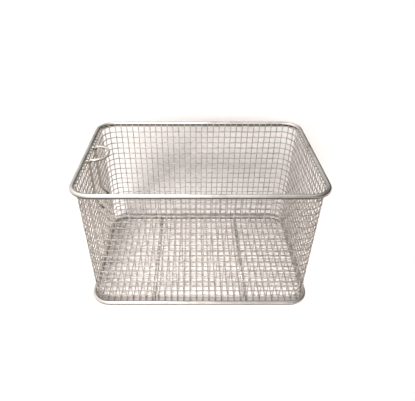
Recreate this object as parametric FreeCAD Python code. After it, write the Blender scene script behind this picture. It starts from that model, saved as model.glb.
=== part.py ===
import FreeCAD, Part
import math
import os

# Wire deep fryer basket with rounded corners. Millimetres, +Z up, +Y to the rear wall.
# The origin is the middle of the footprint, on the surface that the bottom frame stands on.

# driving dimensions of the mesh
meshPitch = 6.3
longCellCount = 33
wideCellCount = 23
hoopCount = 19
wireDiameter = 1.0
wireSides = 4

# driving dimensions of the rods, and the sides that stand for their round sections
rodDiameter = 4.4
rodSides = 12
supportDiameter = 2.4
supportSides = 8
supportSpacing = 91.0
catchDiameter = 2.2
catchSides = 6

# heights that set the parts apart
supportClearance = 0.3
rimAboveTopHoop = 1.7
wireEndPastRod = 1.1

# two points of a path nearer than this are one point
samePoint = 0.000001

# the catch loop for the lifting handle, on the left wall
catchSpan = 28.0
catchReach = 15.5
catchLift = 1.2
catchTipBend = 11.5
catchShoulderBend = 3.5
catchKinkBelowRim = 42.0
catchEndBelowRim = 51.0
catchEndInward = 6.5

# values worked out from the driving dimensions
meshLong = longCellCount * meshPitch
meshWide = wideCellCount * meshPitch
rodRadius = rodDiameter / 2
supportRadius = supportDiameter / 2
catchRadius = catchDiameter / 2
# mesh wires are square here, as heavy as the round wire they stand for
wireSide = wireDiameter * math.sqrt(math.pi) / 2
# a rounded corner is shorter than a square one; at this radius each quarter of the wall
# loses one pitch, so the uprights all round still line up with the wires of the base
cornerRadius = meshPitch / (2 - math.pi / 2)
quarterPitches = round((longCellCount + wideCellCount) / 2 - 1)
straightHalfLong = meshLong / 2 - cornerRadius
straightHalfWide = meshWide / 2 - cornerRadius
rodOffset = wireSide + rodRadius

frameHeight = rodRadius
supportHeight = supportClearance + supportRadius
longWireHeight = supportHeight + supportRadius + wireSide / 2
crossWireHeight = longWireHeight + wireSide
baseHeight = longWireHeight + wireSide / 2
rimHeight = baseHeight + hoopCount * meshPitch + rimAboveTopHoop

up = FreeCAD.Vector(0, 0, 1)


def section(centre, along, sideways, acrossFlats, sides):
    # outline of a wire or rod across its length, with one flat facing sideways
    other = along.cross(sideways)
    radius = acrossFlats / 2 / math.cos(math.pi / sides)
    corners = []
    for i in range(sides):
        angle = (i + 0.5) * 2 * math.pi / sides
        corners.append(centre + sideways * (radius * math.cos(angle))
                       + other * (radius * math.sin(angle)))
    return Part.makePolygon(corners + corners[:1])


def straightWire(start, reach, sideways):
    along = FreeCAD.Vector(reach).normalize()
    outline = section(start, along, sideways, wireSide, wireSides)
    return Part.Face(outline).extrude(reach)


def bend(before, corner, after, radius):
    # the arc that rounds one corner of a path
    inward = (before - corner).normalize()
    onward = (after - corner).normalize()
    half = inward.getAngle(onward) / 2
    start = corner + inward * (radius / math.tan(half))
    end = corner + onward * (radius / math.tan(half))
    middle = (inward + onward).normalize()
    crown = corner + middle * (radius / math.sin(half) - radius)
    return Part.Arc(start, crown, end).toShape()


def bentPath(corners, radii):
    # straight stretches joined by arcs, from the first corner to the last
    edges = []
    here = corners[0]
    for i, radius in enumerate(radii):
        arc = bend(corners[i], corners[i + 1], corners[i + 2], radius)
        arcStart = arc.firstVertex().Point
        if not here.isEqual(arcStart, samePoint):
            edges.append(Part.makeLine(here, arcStart))
        edges.append(arc)
        here = arc.lastVertex().Point
    edges.append(Part.makeLine(here, corners[-1]))
    return Part.Wire(edges)


def roundedRing(halfLong, halfWide, radius, height, acrossFlats, sides):
    # a closed ring of one section, drawn from the right end of its straight front side
    start = FreeCAD.Vector(halfLong - radius, -halfWide, height)
    corners = [FreeCAD.Vector(x * halfLong, y * halfWide, height)
               for x, y in ((1, -1), (1, 1), (-1, 1), (-1, -1))]
    path = bentPath([start] + corners + [start], [radius] * 4)
    outline = section(start, FreeCAD.Vector(1, 0, 0), up, acrossFlats, sides)
    return path.makePipeShell([outline], True, True)


def rodRing(height):
    return roundedRing(meshLong / 2 + rodOffset, meshWide / 2 + rodOffset,
                       cornerRadius + rodOffset, height, rodDiameter, rodSides)


def hoop(height):
    # a hoop lies against the inner faces of the uprights
    inset = wireSide / 2
    return roundedRing(meshLong / 2 - inset, meshWide / 2 - inset,
                       cornerRadius - inset, height, wireSide, wireSides)


def wallPoint(distance):
    # point and outward direction on the wall, at a distance from the middle of the front
    # towards the right, measured round the first quarter of the wall
    arc = cornerRadius * math.pi / 2
    if distance < straightHalfLong:
        return distance, -meshWide / 2, 0.0, -1.0
    if distance < straightHalfLong + arc:
        angle = (distance - straightHalfLong) / cornerRadius
        outX = math.sin(angle)
        outY = -math.cos(angle)
        return (straightHalfLong + cornerRadius * outX,
                -straightHalfWide + cornerRadius * outY, outX, outY)
    alongSide = distance - straightHalfLong - arc
    return meshLong / 2, -straightHalfWide + alongSide, 1.0, 0.0


def upright(x, y, outX, outY):
    outward = FreeCAD.Vector(outX, outY, 0)
    low = frameHeight - wireEndPastRod
    foot = FreeCAD.Vector(x, y, low) + outward * (wireSide / 2)
    return straightWire(foot, up * (rimHeight + wireEndPastRod - low), outward)


def uprightGroups():
    # one quarter of the wall is worked out and mirrored to the other three
    groups = {}
    for i in range(quarterPitches):
        x, y, outX, outY = wallPoint((i + 0.5) * meshPitch)
        for sideX, endX in ((1, "right"), (-1, "left")):
            for sideY, endY in ((1, "front"), (-1, "rear")):
                if outX == 0:
                    name = endY + "_uprights"
                elif outY == 0:
                    name = endX + "_uprights"
                else:
                    name = endY + "_" + endX + "_corner_uprights"
                wire = upright(x * sideX, y * sideY, outX * sideX, outY * sideY)
                groups.setdefault(name, []).append(wire)
    return groups


def baseReach(offset, straight, half):
    # how far a base wire runs before it meets the uprights, also inside the round corners
    beyond = abs(offset) + wireSide / 2 - straight
    if beyond <= 0:
        return half
    return half - cornerRadius + math.sqrt(cornerRadius ** 2 - beyond ** 2)


def baseWires(cells, straight, half, height, along):
    # one layer of the base: straight wires whose ends butt against the uprights
    sideways = up.cross(along)
    wires = []
    for i in range(cells - 1):
        offset = (i + 1 - cells / 2) * meshPitch
        reach = baseReach(offset, straight, half)
        start = sideways * offset - along * reach + up * height
        wires.append(straightWire(start, along * (2 * reach), up))
    return wires


def supportRod(x, frame):
    # a support rod's ends are coped to fit the inner side of the bottom frame
    reach = meshWide / 2 + rodOffset
    start = FreeCAD.Vector(x, -reach, supportHeight)
    along = FreeCAD.Vector(0, 1, 0)
    outline = section(start, along, up, supportDiameter, supportSides)
    pieces = Part.Face(outline).extrude(along * (2 * reach)).cut(frame).Solids
    return max(pieces, key=lambda piece: piece.Volume)


def catchLoop():
    # one bent wire: a level U over the mouth, two legs down the inside of the left wall,
    # touching every hoop they cross, and two ends turned in towards the food
    wall = -(meshLong / 2 - wireSide - catchRadius)
    tip = wall + catchReach
    top = rimHeight + catchLift
    kink = rimHeight - catchKinkBelowRim
    end = rimHeight - catchEndBelowRim
    route = [(wall + catchEndInward, end), (wall, kink), (wall, top), (tip, top)]
    side = catchSpan / 2
    corners = [FreeCAD.Vector(x, -side, z) for x, z in route]
    corners += [FreeCAD.Vector(x, side, z) for x, z in reversed(route)]
    shoulder = [catchShoulderBend] * 2
    path = bentPath(corners, shoulder + [catchTipBend] * 2 + shoulder)
    along = (corners[1] - corners[0]).normalize()
    # one flat of the section faces the hoops
    sideways = along.cross(FreeCAD.Vector(0, 1, 0))
    outline = section(corners[0], along, sideways, catchDiameter, catchSides)
    return path.makePipeShell([outline], True, False)


def save(name, shape):
    shape.exportStep("parts/" + name + ".step")


def build():
    os.makedirs("parts", exist_ok=True)
    frame = rodRing(frameHeight)
    save("bottom_frame", frame)
    save("top_rim", rodRing(rimHeight))
    for i in range(hoopCount):
        save("hoop_%02d" % (i + 1), hoop(baseHeight + (i + 1) * meshPitch))
    for name, wires in uprightGroups().items():
        save(name, Part.makeCompound(wires))
    longWires = baseWires(wideCellCount, straightHalfWide, meshLong / 2,
                          longWireHeight, FreeCAD.Vector(1, 0, 0))
    crossWires = baseWires(longCellCount, straightHalfLong, meshWide / 2,
                           crossWireHeight, FreeCAD.Vector(0, 1, 0))
    save("base_long_wires", Part.makeCompound(longWires))
    save("base_cross_wires", Part.makeCompound(crossWires))
    for side, name in ((-1, "left"), (1, "right")):
        rod = supportRod(side * supportSpacing / 2, frame)
        save(name + "_support_rod", rod)
    save("handle_catch_loop", catchLoop())


build()
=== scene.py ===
import bpy
import bmesh
import math
import random
from mathutils import Matrix, Vector


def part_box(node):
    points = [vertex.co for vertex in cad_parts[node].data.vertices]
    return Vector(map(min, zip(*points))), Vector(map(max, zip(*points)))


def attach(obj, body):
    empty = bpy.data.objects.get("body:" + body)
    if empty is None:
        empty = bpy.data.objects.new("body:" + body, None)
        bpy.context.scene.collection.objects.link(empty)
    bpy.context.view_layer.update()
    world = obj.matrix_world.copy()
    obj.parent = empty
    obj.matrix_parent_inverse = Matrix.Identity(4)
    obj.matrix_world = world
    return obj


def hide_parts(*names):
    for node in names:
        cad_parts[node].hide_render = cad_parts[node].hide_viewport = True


# Wire deep fryer basket: woven stainless mesh, welded inside a rim and a foot frame of round rod.
# Metres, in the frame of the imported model: +Z up, rear wall at +Y, the floor at Z 0.

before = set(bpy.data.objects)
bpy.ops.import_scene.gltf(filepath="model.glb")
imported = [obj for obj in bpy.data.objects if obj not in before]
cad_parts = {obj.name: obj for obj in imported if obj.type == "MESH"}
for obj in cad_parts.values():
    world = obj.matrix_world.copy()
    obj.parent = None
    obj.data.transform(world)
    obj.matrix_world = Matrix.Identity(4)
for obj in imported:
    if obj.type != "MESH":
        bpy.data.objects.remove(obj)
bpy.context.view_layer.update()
mm = 0.001
samePoint = 0.01 * mm  # vertices nearer than this are one
up = Vector((0, 0, 1))

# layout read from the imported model
hoopNames = sorted(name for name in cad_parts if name.startswith("hoop_"))
hoopHeights = [sum(corner.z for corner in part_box(name)) / 2 for name in hoopNames]
pitch = (hoopHeights[-1] - hoopHeights[0]) / (len(hoopHeights) - 1)
baseHeight = hoopHeights[0] - pitch
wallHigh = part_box(hoopNames[0])[1]  # the wall's middle plane: hoops lie inside it, uprights outside
cornerRadius = pitch / (2 - math.pi / 2)  # each quarter of the wall is whole pitches long
halfWay = 2 * (wallHigh.x + wallHigh.y - 2 * cornerRadius) + math.pi * cornerRadius
wireCount = round(2 * halfWay / pitch)
print("frame loaded, mesh pitch", round(pitch / mm, 3), "mm")


# camera
camera = {
    "place": (-5.4 * mm, -349.8 * mm, 293.3 * mm),
    "downward": 39.73,  # degrees below level
    "focalPixels": 397.8,
    "imageWidth": 415,
    "axisLeft": 13.5,  # the lens axis, in pixels left of and below the middle of the photograph
    "axisBelow": 53.5,
    "sensorWidth": 36.0,
    "seesFrom": 0.01,
    "seesTo": 50,
}
lens = bpy.data.cameras.new("camera")
lens.sensor_width = camera["sensorWidth"]
lens.lens = camera["sensorWidth"] * camera["focalPixels"] / camera["imageWidth"]
lens.shift_x = camera["axisLeft"] / camera["imageWidth"]
lens.shift_y = camera["axisBelow"] / camera["imageWidth"]
lens.clip_start = camera["seesFrom"]
lens.clip_end = camera["seesTo"]
viewer = bpy.data.objects.new("camera", lens)
viewer.location = camera["place"]
viewer.rotation_euler = (math.radians(90 - camera["downward"]), 0, 0)
bpy.context.scene.collection.objects.link(viewer)
bpy.context.scene.camera = viewer
print("camera placed")


# materials
def linearOf(hexColour):
    # an sRGB hex value as linear red, green, blue and alpha
    parts = [int(hexColour[i:i + 2], 16) / 255 for i in (1, 3, 5)]
    return [p / 12.92 if p <= 0.04045 else ((p + 0.055) / 1.055) ** 2.4 for p in parts] + [1]


def addNode(tree, kind, settings=None, inputs=None):
    # one node with its settings; an input is a value, or a socket to link from
    # a Mix node's sockets go by number: in at 0 its factor, at 2 and 3 two numbers or at 6 and 7
    # two colours, and out at 0 a number or at 2 a colour
    node = tree.nodes.new(kind)
    for key, value in (settings or {}).items():
        setattr(node, key, value)
    for key, value in (inputs or {}).items():
        if isinstance(value, bpy.types.NodeSocket):
            tree.links.new(value, node.inputs[key])
        else:
            node.inputs[key].default_value = value
    return node


# what the four steels share: the octaves and roughness of each noise
pattern = {
    "cloudDetail": 3.0, "cloudRough": 0.6,
    "grimeDetail": 5.0, "grimeRough": 0.65,
    "grainDetail": 2.0, "grainRough": 0.5,
    "cloudRange": (0.3, 0.7),  # cloud values where the surface is smoothest and roughest
}


def steel(name, look):
    # stainless steel: cloudy brightness, roughness that follows it, fine pits, painted shade
    # underneath
    material = bpy.data.materials.new(name)
    material.use_nodes = True
    tree = material.node_tree
    tree.nodes.clear()
    coordinates = addNode(tree, "ShaderNodeTexCoord")
    place = coordinates.outputs["Object"]
    clouds = addNode(tree, "ShaderNodeTexNoise", inputs={
        "Vector": place, "Scale": 1 / look["cloudSize"],
        "Detail": pattern["cloudDetail"], "Roughness": pattern["cloudRough"]})
    grime = addNode(tree, "ShaderNodeTexNoise", inputs={
        "Vector": place, "Scale": 1 / look["grimeSize"],
        "Detail": pattern["grimeDetail"], "Roughness": pattern["grimeRough"]})
    grains = addNode(tree, "ShaderNodeTexNoise", inputs={
        "Vector": place, "Scale": 1 / look["grainSize"],
        "Detail": pattern["grainDetail"], "Roughness": pattern["grainRough"]})
    cloudColour = addNode(tree, "ShaderNodeValToRGB", inputs={"Fac": clouds.outputs["Fac"]})
    for stop, (position, colour) in zip(cloudColour.color_ramp.elements, look["colours"]):
        stop.position = position
        stop.color = linearOf(colour)
    grimeAmount = addNode(tree, "ShaderNodeMapRange", inputs={
        "Value": grime.outputs["Fac"], "From Min": look["grimeFrom"], "From Max": look["grimeTo"],
        "To Min": 0.0, "To Max": look["grimeMost"]})
    grimed = addNode(tree, "ShaderNodeMix", {"data_type": "RGBA"}, {
        "Factor": grimeAmount.outputs["Result"], 6: cloudColour.outputs["Color"],
        7: linearOf(look["grimeColour"])})
    # painted shade: the colour darkens where the surface faces down, drawn as the dark reflection
    # under a rod
    facing = addNode(tree, "ShaderNodeSeparateXYZ", inputs={
        "Vector": coordinates.outputs["Normal"]})
    undersideShadeAmount = addNode(tree, "ShaderNodeMapRange", {"interpolation_type": "SMOOTHSTEP"}, {
        "Value": facing.outputs["Z"], "From Min": look["undersideShadeFrom"], "From Max": look["undersideShadeFull"],
        "To Min": 0.0, "To Max": look["undersideShadeMost"]})
    undersideShaded = addNode(tree, "ShaderNodeMix", {"data_type": "RGBA"}, {
        "Factor": undersideShadeAmount.outputs["Result"], 6: grimed.outputs[2],
        7: linearOf(look["undersideShadeColour"])})
    smoothAt, roughAt = pattern["cloudRange"]
    roughness = addNode(tree, "ShaderNodeMapRange", inputs={
        "Value": clouds.outputs["Fac"], "From Min": smoothAt, "From Max": roughAt,
        "To Min": look["smoothest"], "To Max": look["roughest"]})
    bump = addNode(tree, "ShaderNodeBump", inputs={
        "Height": grains.outputs["Fac"], "Strength": look["bumpStrength"],
        "Distance": look["bumpDepth"]})
    shader = addNode(tree, "ShaderNodeBsdfPrincipled", inputs={
        "Base Color": undersideShaded.outputs[2], "Metallic": 1.0,
        "Roughness": roughness.outputs["Result"], "Normal": bump.outputs["Normal"]})
    output = addNode(tree, "ShaderNodeOutputMaterial")
    tree.links.new(shader.outputs["BSDF"], output.inputs["Surface"])
    return material


# Real polishing pits are too fine to show, so the grain in all four is drawn about ten times as
# coarse. In all four, the darkening of what faces down is painted shade: it paints the dark line,
# the dark reflection, under each rod.

# drawn stainless wire, woven and electropolished: pale and slightly warm, dulled in small patches
wovenWire = steel("drawnStainlessWire", {
    "colours": [(0.3, "#B0AAA3"), (0.7, "#D0CAC3")],
    "cloudSize": 14 * mm,
    "grimeColour": "#938980", "grimeSize": 5 * mm,
    "grimeFrom": 0.52, "grimeTo": 0.75, "grimeMost": 0.5,
    "grainSize": 0.6 * mm, "bumpStrength": 0.25, "bumpDepth": 0.05 * mm,
    "smoothest": 0.32, "roughest": 0.5,
    "undersideShadeColour": "#857B72", "undersideShadeFrom": 0.1, "undersideShadeFull": -0.5, "undersideShadeMost": 0.6,
})
# drawn stainless rod, electropolished: bright, with soft clouds and a few dull patches
bentRod = steel("electropolishedStainlessRod", {
    "colours": [(0.3, "#CBC6BF"), (0.7, "#E2DDD6")],
    "cloudSize": 22 * mm,
    "grimeColour": "#9C968C", "grimeSize": 9 * mm,
    "grimeFrom": 0.55, "grimeTo": 0.8, "grimeMost": 0.5,
    "grainSize": 0.8 * mm, "bumpStrength": 0.2, "bumpDepth": 0.06 * mm,
    "smoothest": 0.26, "roughest": 0.42,
    "undersideShadeColour": "#4F473F", "undersideShadeFrom": 0.38, "undersideShadeFull": -0.12, "undersideShadeMost": 0.95,
})
# spring-hard stainless wire, bent after polishing: bright, with small dull patches
bentWire = steel("springStainlessWire", {
    "colours": [(0.3, "#D6D0C5"), (0.7, "#E6E1D7")],
    "cloudSize": 12 * mm,
    "grimeColour": "#8F877C", "grimeSize": 6 * mm,
    "grimeFrom": 0.55, "grimeTo": 0.8, "grimeMost": 0.5,
    "grainSize": 0.5 * mm, "bumpStrength": 0.2, "bumpDepth": 0.05 * mm,
    "smoothest": 0.3, "roughest": 0.46,
    "undersideShadeColour": "#5B5147", "undersideShadeFrom": 0.3, "undersideShadeFull": -0.3, "undersideShadeMost": 0.95,
})
# resistance welds: molten steel squeezed out beside the wire, rough, with brown heat tint in spots
weldSteel = steel("resistanceWeldedSteel", {
    "colours": [(0.35, "#B8B0A4"), (0.65, "#D2CAC0")],
    "cloudSize": 3 * mm,
    "grimeColour": "#7D6A57", "grimeSize": 2 * mm,
    "grimeFrom": 0.45, "grimeTo": 0.7, "grimeMost": 0.7,
    "grainSize": 0.3 * mm, "bumpStrength": 0.5, "bumpDepth": 0.08 * mm,
    "smoothest": 0.38, "roughest": 0.6,
    "undersideShadeColour": "#6F6156", "undersideShadeFrom": 0.1, "undersideShadeFull": -0.5, "undersideShadeMost": 0.8,
})
print("materials made")


# shared modelling steps
def finishPiece(bm, name, material, nodes):
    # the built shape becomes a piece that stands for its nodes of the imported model
    bmesh.ops.recalc_face_normals(bm, faces=bm.faces[:])
    for face in bm.faces:
        face.smooth = True
    shape = bpy.data.meshes.new(name)
    bm.to_mesh(shape)
    bm.free()
    piece = bpy.data.objects.new(name, shape)
    bpy.context.scene.collection.objects.link(piece)
    piece.data.materials.append(material)
    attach(piece, "root")
    if nodes:
        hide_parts(*nodes)


def wallPlace(distance):
    # a spot on the wall's middle plane and the way out of it, measured from the middle of the
    # front to the right; the second half of the way round is the first one turned half round
    longRun = wallHigh.x - cornerRadius
    wideRun = wallHigh.y - cornerRadius
    arc = cornerRadius * math.pi / 2
    turns, rest = divmod(distance, halfWay)
    flip = -1 if round(turns) % 2 else 1
    if rest < longRun:
        spot, out = Vector((rest, -wallHigh.y, 0)), Vector((0, -1, 0))
    elif rest < longRun + arc:
        angle = (rest - longRun) / cornerRadius
        out = Vector((math.sin(angle), -math.cos(angle), 0))
        spot = Vector((longRun, -wideRun, 0)) + out * cornerRadius
    elif rest < longRun + arc + 2 * wideRun:
        spot, out = Vector((wallHigh.x, rest - longRun - arc - wideRun, 0)), Vector((1, 0, 0))
    elif rest < longRun + 2 * (arc + wideRun):
        angle = (rest - longRun - arc - 2 * wideRun) / cornerRadius
        out = Vector((math.cos(angle), math.sin(angle), 0))
        spot = Vector((longRun, wideRun, 0)) + out * cornerRadius
    else:
        spot, out = Vector((halfWay - rest, wallHigh.y, 0)), Vector((0, 1, 0))
    return spot * flip, out * flip


def uprightPlace(index):
    # where an upright wire stands, counted from the middle of the front to the right
    return wallPlace((index + 0.5) * pitch)


def pick(geometry, kind):
    return [item for item in geometry if isinstance(item, kind)]


def edgesAt(verts):
    # the edges that meet these vertices, each once and in the same order in every run
    return list(dict.fromkeys(edge for vert in verts for edge in vert.link_edges))


def closeEnds(bm):
    bmesh.ops.holes_fill(bm, edges=[edge for edge in bm.edges if edge.is_boundary], sides=0)


# the woven mesh
mesh = {
    "wireDiameter": 1.0 * mm,
    "sides": 8,
    "ringsPerPitch": 4,
    "crimp": 0.65,  # sideways swing in wire radii; the crossings are pressed a little flat
    "unevenCrimp": 0.12,  # share by which the crimp's depth differs from wire to wire
    "unevenPlace": 0.12 * mm,  # how far the most uneven wire strays from its even place
    "leastUneven": 0.4,  # the share of that by which the most even wire strays
    "strayLength": 55 * mm,  # length of one slow bend in a strayed wire
    "quickBends": 2.3,  # smaller bends on each slow one
    "quickDepth": 0.5,  # their depth as a share of the slow one's
    "seed": 7,
}
wireRadius = mesh["wireDiameter"] / 2
dice = random.Random(mesh["seed"])


def drawWire(bm, length):
    # a straight wire along X: one circle, drawn out and cut into rings; returns its vertices
    before = len(bm.verts)
    sides = mesh["sides"]
    turn = Matrix.Rotation(math.pi / 2, 4, "Y") @ Matrix.Rotation(math.pi / sides, 4, "Z")
    near = bmesh.ops.create_circle(bm, segments=sides, radius=wireRadius, matrix=turn)["verts"]
    drawn = bmesh.ops.extrude_edge_only(bm, edges=edgesAt(near))["geom"]
    far = pick(drawn, bmesh.types.BMVert)
    bmesh.ops.translate(bm, verts=far, vec=(length, 0, 0))
    runs = [edge for vert in far for edge in vert.link_edges if edge.other_vert(vert) in near]
    rings = round(length / pitch * mesh["ringsPerPitch"])
    bmesh.ops.subdivide_edges(bm, edges=runs, cuts=rings - 1)
    return bm.verts[:][before:]


def waver():
    # a wire's own slow bends: returns the stray at a distance along it
    slowPhase = dice.uniform(0, 2 * math.pi)
    quickPhase = dice.uniform(0, 2 * math.pi)
    size = mesh["unevenPlace"] * dice.uniform(mesh["leastUneven"], 1)

    def stray(distance):
        turn = 2 * math.pi * distance / mesh["strayLength"]
        quick = mesh["quickDepth"] * math.sin(mesh["quickBends"] * turn + quickPhase)
        return size * (math.sin(turn + slowPhase) + quick) / (1 + mesh["quickDepth"])
    return stray


def crimpDepth():
    return wireRadius * mesh["crimp"] * (1 + dice.uniform(-1, 1) * mesh["unevenCrimp"])


def smoothStep(value):
    value = min(max(value, 0), 1)
    return value * value * (3 - 2 * value)


rimLow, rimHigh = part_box("top_rim")
footLow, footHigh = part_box("bottom_frame")
rodRadius = (rimHigh.z - rimLow.z) / 2
rimHeight = (rimHigh.z + rimLow.z) / 2
footHeight = (footHigh.z + footLow.z) / 2
rodOffset = rimHigh.x - rodRadius - wallHigh.x  # from the wall's middle plane to a rod's middle
seatDepth = rodOffset - rodRadius - wireRadius  # an upright's offset where it lies against a rod


def wovenHoop(number, name):
    # one ring of the wall, passing behind and before the uprights by turns
    bm = bmesh.new()
    length = 2 * halfWay
    verts = drawWire(bm, length)
    sign = -1 if number % 2 else 1
    depth = crimpDepth()
    stray = waver()
    height = hoopHeights[number]
    for vert in verts:
        along = min(max(vert.co.x, 0), length)
        spot, out = wallPlace(along % length)
        crimp = sign * depth * math.cos(math.pi * (along / pitch - 0.5))
        lift = stray(along) * smoothStep(along / pitch) * smoothStep((length - along) / pitch)
        vert.co = spot + out * (crimp + vert.co.y) + up * (height + lift + vert.co.z)
    bmesh.ops.remove_doubles(bm, verts=bm.verts[:], dist=samePoint)
    finishPiece(bm, "woven_" + name, wovenWire, [name])


for number, name in enumerate(hoopNames):
    wovenHoop(number, name)
print("hoops woven:", len(hoopNames))


def uprightNode(spot, out):
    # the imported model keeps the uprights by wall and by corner
    endX = "left" if spot.x < 0 else "right"
    endY = "front" if spot.y < 0 else "rear"
    if out.x == 0:
        return endY + "_uprights"
    if out.y == 0:
        return endX + "_uprights"
    return endY + "_" + endX + "_corner_uprights"


def wovenUpright(bm, index):
    # one upright wire, crimped against the hoops and straight where it is welded to the rods
    low, high = (corner.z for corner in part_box("front_uprights"))
    spot, out = uprightPlace(index)
    verts = drawWire(bm, high - low)
    sign = 1 if index % 2 else -1
    depth = crimpDepth()
    stray = waver()
    aside = up.cross(out)
    topHoop = hoopHeights[-1]
    seatedAbove = rimHeight - rodRadius / 2
    for vert in verts:
        height = low + vert.co.x
        crimp = sign * depth * math.cos(math.pi * (height - hoopHeights[0]) / pitch)
        seated = max(smoothStep((height - topHoop) / (seatedAbove - topHoop)),
                     smoothStep((baseHeight + pitch / 2 - height) / (pitch / 2)))
        offset = crimp * (1 - seated) + seatDepth * seated
        shift = stray(vert.co.x) * (1 - seated)
        vert.co = spot + out * (offset + vert.co.y) + aside * (vert.co.z + shift) + up * height


uprightGroups = {}
for index in range(wireCount):
    uprightGroups.setdefault(uprightNode(*uprightPlace(index)), []).append(index)
for name, indices in uprightGroups.items():
    bm = bmesh.new()
    for index in indices:
        wovenUpright(bm, index)
    closeEnds(bm)
    finishPiece(bm, "woven_" + name, wovenWire, [name])
print("uprights woven:", wireCount)


def reachAt(offset, halfAcross, halfAlong):
    # how far a base wire runs before it meets the uprights, also in the round corners
    beyond = abs(offset) + wireRadius - (halfAcross - cornerRadius)
    if beyond <= 0:
        return halfAlong
    return halfAlong - cornerRadius + math.sqrt(cornerRadius ** 2 - beyond ** 2)


def wovenLayer(name, halfAcross, halfAlong, along, sign):
    # one direction of the base's wires, woven with the other
    bm = bmesh.new()
    count = round(2 * halfAcross / pitch) - 1
    aside = up.cross(along)
    for i in range(count):
        offset = (i - (count - 1) / 2) * pitch
        reach = reachAt(offset, halfAcross, halfAlong)
        verts = drawWire(bm, 2 * reach)
        side = sign * (-1 if i % 2 else 1)
        depth = crimpDepth()
        stray = waver()
        for vert in verts:
            distance = vert.co.x - reach
            # the crossing wires lie at whole pitches from the last one of their own row
            phase = distance / pitch + (round(2 * halfAlong / pitch) - 2) / 2
            crimp = side * depth * math.cos(math.pi * phase)
            fade = smoothStep((reach - abs(distance)) / pitch)
            shift = stray(vert.co.x) * fade
            vert.co = (along * distance + aside * (offset + vert.co.y + shift)
                       + up * (baseHeight + crimp + vert.co.z))
    closeEnds(bm)
    finishPiece(bm, "woven_" + name, wovenWire, [name])


wovenLayer("base_long_wires", wallHigh.y, wallHigh.x, Vector((1, 0, 0)), 1)
wovenLayer("base_cross_wires", wallHigh.x, wallHigh.y, Vector((0, 1, 0)), -1)
print("base woven")


# rods and bent wire
rods = {
    "sides": 24,
    "stepsPerCorner": 14,
    "supportSides": 16,
    "supportRunOn": 0.5,  # how far a support rod runs on into the round frame rod, in its radii
}


def bendRod(corners, bends, radius, sides, steps=0, closed=False):
    # a circle drawn along straight runs and spun round each corner, a right angle in so many steps
    bm = bmesh.new()
    first = (corners[1] - corners[0]).normalized()
    turn = up.rotation_difference(first).to_matrix().to_4x4()
    turn.translation = corners[0]
    circle = bmesh.ops.create_circle(bm, segments=sides, radius=radius, matrix=turn)["verts"]
    edges = edgesAt(circle)
    here = corners[0]
    for i, bend in enumerate(bends):
        corner = corners[i + 1]
        back = (corners[i] - corner).normalized()
        onward = (corners[i + 2] - corner).normalized()
        half = back.angle(onward) / 2
        start = corner + back * (bend / math.tan(half))
        centre = corner + (back + onward).normalized() * (bend / math.sin(half))
        angle = math.pi - 2 * half
        edges = drawOn(bm, edges, start - here)
        edges = pick(bmesh.ops.spin(
            bm, geom=edges, cent=centre, axis=onward.cross(back), angle=angle,
            steps=max(2, round(steps * angle / (math.pi / 2))),
            use_merge=False, use_duplicate=False)["geom_last"], bmesh.types.BMEdge)
        here = corner + onward * (bend / math.tan(half))
    drawOn(bm, edges, corners[-1] - here)
    if closed:
        bmesh.ops.remove_doubles(bm, verts=bm.verts[:], dist=samePoint)
    else:
        closeEnds(bm)
    return bm


def drawOn(bm, edges, reach):
    # lengthens the rod by one straight run and returns its new end
    if reach.length < samePoint:
        return edges
    drawn = bmesh.ops.extrude_edge_only(bm, edges=edges)["geom"]
    bmesh.ops.translate(bm, verts=pick(drawn, bmesh.types.BMVert), vec=reach)
    return pick(drawn, bmesh.types.BMEdge)


def rodRing(name, height, piece):
    halfLong = wallHigh.x + rodOffset
    halfWide = wallHigh.y + rodOffset
    start = Vector((0, -halfWide, height))
    corners = [Vector((x * halfLong, y * halfWide, height))
               for x, y in ((1, -1), (1, 1), (-1, 1), (-1, -1))]
    bm = bendRod([start] + corners + [start], [cornerRadius + rodOffset] * 4, rodRadius,
                 rods["sides"], rods["stepsPerCorner"], closed=True)
    finishPiece(bm, piece, bentRod, [name])


def supportRod(side):
    # its ends run on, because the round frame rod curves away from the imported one's flats
    name = side + "_support_rod"
    low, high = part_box(name)
    middle = (low + high) / 2
    runOn = rods["supportRunOn"] * rodRadius
    ends = [Vector((middle.x, y, middle.z)) for y in (low.y - runOn, high.y + runOn)]
    bm = bendRod(ends, [], (high.z - low.z) / 2, rods["supportSides"])
    finishPiece(bm, "round_" + name, bentRod, [name])


rodRing("top_rim", rimHeight, "round_top_rim")
rodRing("bottom_frame", footHeight, "round_bottom_frame")
supportRod("left")
supportRod("right")
print("rods bent")

catch = {
    "diameter": 2.2 * mm,
    "tipBend": 11.5 * mm,
    "shoulderBend": 3.5 * mm,
    "kinkBelowTop": 43.2 * mm,
    "endBelowKink": 9 * mm,
    "endInward": 6.5 * mm,
    "sides": 16,
    "stepsPerCorner": 10,
}


def catchLoop():
    # the handle's catch: a level U over the mouth, two legs down the hoops and two turned-in ends
    low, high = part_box("handle_catch_loop")
    hoopLow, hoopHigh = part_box(hoopNames[0])
    radius = catch["diameter"] / 2
    hoopFace = -(hoopHigh.x - (hoopHigh.z - hoopLow.z))  # a packed hoop is as deep as it is high
    wall = hoopFace + radius
    side = high.y - radius
    tip = high.x - radius
    top = high.z - radius
    kink = top - catch["kinkBelowTop"]
    end = kink - catch["endBelowKink"]
    route = [(wall + catch["endInward"], end), (wall, kink), (wall, top), (tip, top)]
    corners = [Vector((x, -side, z)) for x, z in route]
    corners += [Vector((x, side, z)) for x, z in reversed(route)]
    shoulder = [catch["shoulderBend"]] * 2
    bm = bendRod(corners, shoulder + [catch["tipBend"]] * 2 + shoulder, radius,
                 catch["sides"], catch["stepsPerCorner"])
    finishPiece(bm, "bent_handle_catch_loop", bentWire, ["handle_catch_loop"])


catchLoop()
print("catch loop bent")

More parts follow.
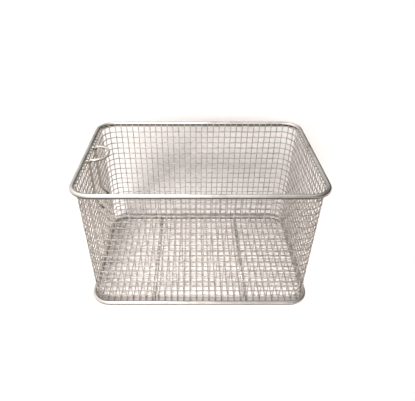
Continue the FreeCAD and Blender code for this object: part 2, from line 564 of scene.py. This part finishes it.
# welds
weld = {
    "rodBead": (0.45 * mm, 0.8 * mm, 1.0 * mm),  # half sizes: outward, along the rod, up
    "loopBead": (2.1 * mm, 1.2 * mm, 1.0 * mm),
    "legBead": (0.5 * mm, 1.0 * mm, 0.8 * mm),
    "loopBeadLift": 0.2,  # how far above the rim's middle, in rod radii
    "uneven": 0.2,  # share by which a bead's sizes differ from those above
    "seed": 19,
}
weldDice = random.Random(weld["seed"])


def addBead(bm, spot, out, halfSizes):
    # one squeezed-out bead, flattened and a little different each time
    aside = up.cross(out)
    sizes = [half * (1 + weldDice.uniform(-1, 1) * weld["uneven"]) for half in halfSizes]
    shape = Matrix((out * sizes[0], aside * sizes[1], up * sizes[2])).transposed().to_4x4()
    shape.translation = spot
    bmesh.ops.create_icosphere(bm, subdivisions=1, radius=1, matrix=shape)


def rodWelds(name, height):
    # one bead where each upright lies against the rod
    bm = bmesh.new()
    for index in range(wireCount):
        spot, out = uprightPlace(index)
        addBead(bm, spot + out * (rodOffset - rodRadius) + up * height, out, weld["rodBead"])
    finishPiece(bm, name, weldSteel, [])


def loopWelds():
    # the catch loop is joined to the rim at its shoulders and to each hoop its legs cross
    low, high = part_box("handle_catch_loop")
    radius = catch["diameter"] / 2
    inward = Vector((1, 0, 0))
    innerRim = rimLow.x + 2 * rodRadius
    lift = weld["loopBeadLift"] * rodRadius
    bm = bmesh.new()
    for y in (low.y + radius, high.y - radius):
        shoulder = Vector(((innerRim + low.x + radius) / 2, y, rimHeight + lift))
        addBead(bm, shoulder, inward, weld["loopBead"])
        for height in hoopHeights:
            if high.z - catch["kinkBelowTop"] < height:
                addBead(bm, Vector((low.x, y, height)), inward, weld["legBead"])
    finishPiece(bm, "loop_welds", weldSteel, [])


rodWelds("rim_welds", rimHeight)
rodWelds("frame_welds", footHeight)
loopWelds()
print("welds made")


# floor, world and lamps
studio = {
    "floorSize": 12.0,
    "floorColour": "#F4ECE9",
    "floorGlow": 0.13,  # what the camera and reflections see of the floor beyond its own colour
    "skyLevel": 0.08,  # strength of the even light from all round
    "brightSide": (-0.55, 0.0, 0.85),  # metal sees the room brightest this way
    "roomBright": 1.5,  # strengths of the room that metal sees
    "roomDark": 0.03,
    "roomDarkFrom": 0.1,  # cosine of the angle from the bright side where the room is darkest
    "windowStrength": 9.0,  # shared out among the panes
    "windowPlace": (-0.16, -1.0, 0.39),  # direction only
    "windowPanes": 9,
    "windowStep": 2.4,  # degrees from pane to pane
    "windowAngle": 5.0,  # degrees across one pane: they overlap, so shadows have no steps
    "windowGlint": 2.8,  # what metal sees of the window, in place of the lamps themselves
    "glintEdge": (0.93, 0.99),  # cosines of the angles over which the glint fades in
    "topPower": 9.2,
    "topPlace": (-0.14, -0.06, 0.54),
    "topAim": (-0.02, -0.02, 0.0),
    "topCone": 42,  # degrees across
    "topEdge": 1.0,  # how softly the cone fades out, 1 is from its middle
    "topSize": 0.08,
}


def makeFloor():
    bm = bmesh.new()
    bmesh.ops.create_grid(bm, x_segments=1, y_segments=1, size=studio["floorSize"] / 2)
    shape = bpy.data.meshes.new("floor")
    bm.to_mesh(shape)
    bm.free()
    floor = bpy.data.objects.new("floor", shape)
    bpy.context.scene.collection.objects.link(floor)
    paper = bpy.data.materials.new("matBackdropPaper")
    paper.use_nodes = True
    tree = paper.node_tree
    tree.nodes.clear()
    ray = addNode(tree, "ShaderNodeLightPath")
    direct = addNode(tree, "ShaderNodeMath", {"operation": "MAXIMUM"}, {
        0: ray.outputs["Is Camera Ray"], 1: ray.outputs["Is Glossy Ray"]})
    seen = addNode(tree, "ShaderNodeMath", {"operation": "MAXIMUM"}, {
        0: direct.outputs["Value"], 1: ray.outputs["Is Transmission Ray"]})
    strength = addNode(tree, "ShaderNodeMath", {"operation": "MULTIPLY"}, {
        0: seen.outputs["Value"], 1: studio["floorGlow"]})
    paperColour = linearOf(studio["floorColour"])
    diffuse = addNode(tree, "ShaderNodeBsdfDiffuse", inputs={"Color": paperColour})
    glow = addNode(tree, "ShaderNodeEmission", inputs={
        "Color": paperColour, "Strength": strength.outputs["Value"]})
    both = addNode(tree, "ShaderNodeAddShader", inputs={
        0: diffuse.outputs["BSDF"], 1: glow.outputs["Emission"]})
    output = addNode(tree, "ShaderNodeOutputMaterial")
    tree.links.new(both.outputs["Shader"], output.inputs["Surface"])
    shape.materials.append(paper)


def makeWorld():
    # white all round for the camera; metal sees a room that is bright above and to the left
    world = bpy.data.worlds.new("studio")
    bpy.context.scene.world = world
    world.use_nodes = True
    tree = world.node_tree
    tree.nodes.clear()
    ray = addNode(tree, "ShaderNodeLightPath")
    direction = addNode(tree, "ShaderNodeTexCoord").outputs["Generated"]
    towards = addNode(tree, "ShaderNodeVectorMath", {"operation": "DOT_PRODUCT"}, {
        0: direction, 1: Vector(studio["brightSide"]).normalized()})
    level = addNode(tree, "ShaderNodeMapRange", inputs={
        "Value": towards.outputs["Value"], "From Min": studio["roomDarkFrom"], "From Max": 1.0,
        "To Min": studio["roomDark"], "To Max": studio["roomBright"]})
    towardsWindow = addNode(tree, "ShaderNodeVectorMath", {"operation": "DOT_PRODUCT"}, {
        0: direction, 1: Vector(studio["windowPlace"]).normalized()})
    glintFrom, glintFull = studio["glintEdge"]
    glint = addNode(tree, "ShaderNodeMapRange", {"interpolation_type": "SMOOTHSTEP"}, {
        "Value": towardsWindow.outputs["Value"], "From Min": glintFrom, "From Max": glintFull,
        "To Min": 0.0, "To Max": studio["windowGlint"]})
    room = addNode(tree, "ShaderNodeMath", {"operation": "ADD"}, {
        0: level.outputs["Result"], 1: glint.outputs["Result"]})
    shone = addNode(tree, "ShaderNodeMath", {"operation": "MAXIMUM"}, {
        0: ray.outputs["Is Glossy Ray"], 1: ray.outputs["Is Transmission Ray"]})
    around = addNode(tree, "ShaderNodeMix", {"data_type": "FLOAT"}, {
        0: shone.outputs["Value"], 2: studio["skyLevel"], 3: room.outputs["Value"]})
    strength = addNode(tree, "ShaderNodeMix", {"data_type": "FLOAT"}, {
        0: ray.outputs["Is Camera Ray"], 2: around.outputs[0], 3: 1.0})
    shader = addNode(tree, "ShaderNodeBackground", inputs={
        "Color": (1, 1, 1, 1), "Strength": strength.outputs[0]})
    output = addNode(tree, "ShaderNodeOutputWorld")
    tree.links.new(shader.outputs["Background"], output.inputs["Surface"])


def hangLamp(name, lamp, place, target):
    holder = bpy.data.objects.new(name, lamp)
    holder.location = place
    holder.rotation_euler = (Vector(target) - holder.location).to_track_quat("-Z", "Y").to_euler()
    bpy.context.scene.collection.objects.link(holder)
    return holder


def makeWindow():
    # low light from a wide window in front; it lays a shadow on the floor behind the basket
    for pane in range(studio["windowPanes"]):
        lamp = bpy.data.lights.new("window", "SUN")
        lamp.energy = studio["windowStrength"] / studio["windowPanes"]
        lamp.angle = math.radians(studio["windowAngle"])
        turn = math.radians(studio["windowStep"]) * (pane - (studio["windowPanes"] - 1) / 2)
        place = Matrix.Rotation(turn, 3, "Z") @ Vector(studio["windowPlace"])
        hangLamp("window", lamp, place, (0, 0, 0)).visible_glossy = False


def makeTopLamp():
    # soft light through the mouth, which makes the base brighter than the walls
    lamp = bpy.data.lights.new("top", "SPOT")
    lamp.energy = studio["topPower"]
    lamp.spot_size = math.radians(studio["topCone"])
    lamp.spot_blend = studio["topEdge"]
    lamp.shadow_soft_size = studio["topSize"]
    hangLamp("top", lamp, studio["topPlace"], studio["topAim"])


makeFloor()
makeWorld()
makeWindow()
makeTopLamp()
bpy.context.scene.view_settings.view_transform = "Standard"
print("studio lit, view transform set")
